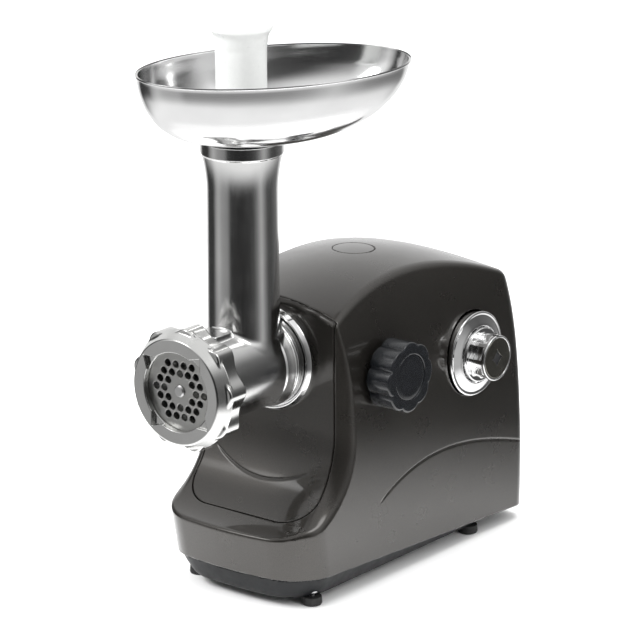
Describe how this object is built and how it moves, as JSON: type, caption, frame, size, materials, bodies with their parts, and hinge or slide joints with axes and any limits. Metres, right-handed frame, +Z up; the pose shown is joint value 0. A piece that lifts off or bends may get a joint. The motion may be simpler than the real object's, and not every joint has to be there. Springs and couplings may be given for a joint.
{
  "type": "electric meat grinder",
  "caption": "Tabletop electric meat grinder: cast barrel with drilled plate and lobed nut, feed tube under an oval tray with a pusher, moulded motor housing with lock knob and rotary switch.",
  "frame": {"origin": "bottom centre of the bounding box, in the plane that the rubber feet stand on", "axes": "+Z up; -Y is the way the cutting plate faces, along the worm's axis; +X is the side with the lock knob and the switch"},
  "size_m": [0.1508, 0.3196, 0.404],
  "materials": {
    "housing": "glossy metallic gunmetal moulding",
    "panel": "glossy metallic gunmetal moulding",
    "badge": "glossy, plain round inset",
    "base": "fine-textured dark moulding",
    "feet": "matte black",
    "zinc_screws": "zinc plated",
    "chrome": "bright chrome plating",
    "cast_aluminium": "polished casting",
    "ring_aluminium": "polished casting",
    "tray_aluminium": "polished spun sheet",
    "plate_steel": "ground flat",
    "worm_aluminium": "tumbled casting",
    "knife_steel": "ground edges",
    "white_plastic": "white food-grade moulding",
    "knob_black": "glossy black moulding",
    "switch_silver": "satin plated moulding",
    "socket_plastic": "glass-filled nylon",
    "steel": "turned",
    "bronze": "sintered bronze",
    "gear_plastic": "natural acetal",
    "sheet_steel": "zinc-plated sheet",
    "core_steel": "laminated electrical steel",
    "copper": "enamelled copper",
    "black_plastic": "moulded",
    "bracket_aluminium": "die cast",
    "carbon": "graphite",
    "rubber": "soft mount",
    "capacitor_yellow": "film capacitor"
  },
  "bodies": {
    "machine": {"main_housing": "housing", "front_panel": "panel", "top_badge": "badge", "base_plate": "base", "rubber_feet": "feet", "foot_screws": "zinc_screws", "head_escutcheon": "chrome", "head_socket": "socket_plastic", "lock_guide_bush": "bronze", "switch_escutcheon": "chrome", "rotary_switch": "black_plastic", "gearbox_front_plate": "sheet_steel", "gearbox_rear_plate": "sheet_steel", "gearbox_spacers": "steel", "gearbox_bolts": "zinc_screws", "gear_pins": "steel", "output_bush": "bronze", "output_rear_bush": "bronze", "motor_stator": "core_steel", "field_coils": "copper", "motor_front_bracket": "bracket_aluminium", "motor_rear_bracket": "bracket_aluminium", "motor_bearings": "bronze", "carbon_brushes": "carbon", "brush_holders": "black_plastic", "motor_cradle": "rubber", "suppression_capacitor": "capacitor_yellow", "cord_inlet_bush": "black_plastic"},
    "head": {"head_casting": "cast_aluminium"},
    "worm": {"auger": "worm_aluminium", "knife": "knife_steel"},
    "plate": {"cutting_plate": "plate_steel"},
    "ring": {"ring_nut": "ring_aluminium"},
    "tray": {"meat_tray": "tray_aluminium"},
    "stomper": {"pusher": "white_plastic"},
    "output_drive": {"output_gear": "gear_plastic", "output_shaft": "steel"},
    "gear_b": {"second_reduction_gear": "gear_plastic"},
    "gear_a": {"first_reduction_gear": "gear_plastic"},
    "rotor": {"motor_shaft": "steel", "motor_pinion": "steel", "armature": "core_steel", "commutator": "copper", "cooling_fan": "black_plastic"},
    "lock": {"lock_screw": "steel"},
    "lock_handle": {"lock_knob": "knob_black", "lock_knob_cap": "knob_black"},
    "selector": {"switch_knob": "switch_silver", "switch_knob_cap": "switch_silver", "switch_stem": "steel"}
  },
  "joints": [
    {"name": "head_slide", "type": "slide", "parent": "machine", "child": "head", "axis": [0, -1, 0], "range_m": [0, 0.07]},
    {"name": "worm_spin", "type": "hinge", "parent": "head", "child": "worm", "pos_m": [-0.01063, -0.0898, 0.163], "axis": [0, 1, 0], "continuous": true},
    {"name": "plate_slide", "type": "slide", "parent": "head", "child": "plate", "axis": [0, -1, 0], "range_m": [0, 0.0091]},
    {"name": "ring_turn", "type": "hinge", "parent": "plate", "child": "ring", "pos_m": [-0.01063, -0.1478, 0.163], "axis": [0, -1, 0], "range_deg": [0, 1080]},
    {"name": "tray_lift", "type": "slide", "parent": "head", "child": "tray", "axis": [0, 0, 1], "range_m": [0, 0.06]},
    {"name": "pusher_lift", "type": "slide", "parent": "head", "child": "stomper", "axis": [0, 0, 1], "range_m": [0, 0.2]},
    {"name": "rotor_spin", "type": "hinge", "parent": "machine", "child": "rotor", "pos_m": [0.00797, 0.0852, 0.0742], "axis": [0, 1, 0], "continuous": true},
    {"name": "gear_a_spin", "type": "hinge", "parent": "machine", "child": "gear_a", "pos_m": [-0.01363, 0.0352, 0.103], "axis": [0, 1, 0], "continuous": true},
    {"name": "gear_b_spin", "type": "hinge", "parent": "machine", "child": "gear_b", "pos_m": [-0.03463, 0.0242, 0.131], "axis": [0, 1, 0], "continuous": true},
    {"name": "output_spin", "type": "hinge", "parent": "machine", "child": "output_drive", "pos_m": [-0.01063, 0.0202, 0.163], "axis": [0, 1, 0], "continuous": true},
    {"name": "lock_slide", "type": "slide", "parent": "machine", "child": "lock", "axis": [1, 0, 0], "range_m": [0, 0.0041]},
    {"name": "lock_turn", "type": "hinge", "parent": "lock", "child": "lock_handle", "pos_m": [0.06537, -0.0138, 0.153], "axis": [1, 0, 0], "range_deg": [0, 720]},
    {"name": "selector_turn", "type": "hinge", "parent": "machine", "child": "selector", "pos_m": [0.06437, 0.0882, 0.141], "axis": [1, 0, 0], "range_deg": [-60, 60]}
  ],
  "couplings": [
    {"joint": "gear_a_spin", "follows": "rotor_spin", "ratio": -0.2},
    {"joint": "gear_b_spin", "follows": "rotor_spin", "ratio": 0.05},
    {"joint": "output_spin", "follows": "rotor_spin", "ratio": -0.0125},
    {"joint": "worm_spin", "follows": "rotor_spin", "ratio": -0.0125},
    {"joint": "plate_slide", "follows": "ring_turn", "m_per_rad": 0.00047746},
    {"joint": "lock_slide", "follows": "lock_turn", "m_per_rad": 0.00031831}
  ]
}
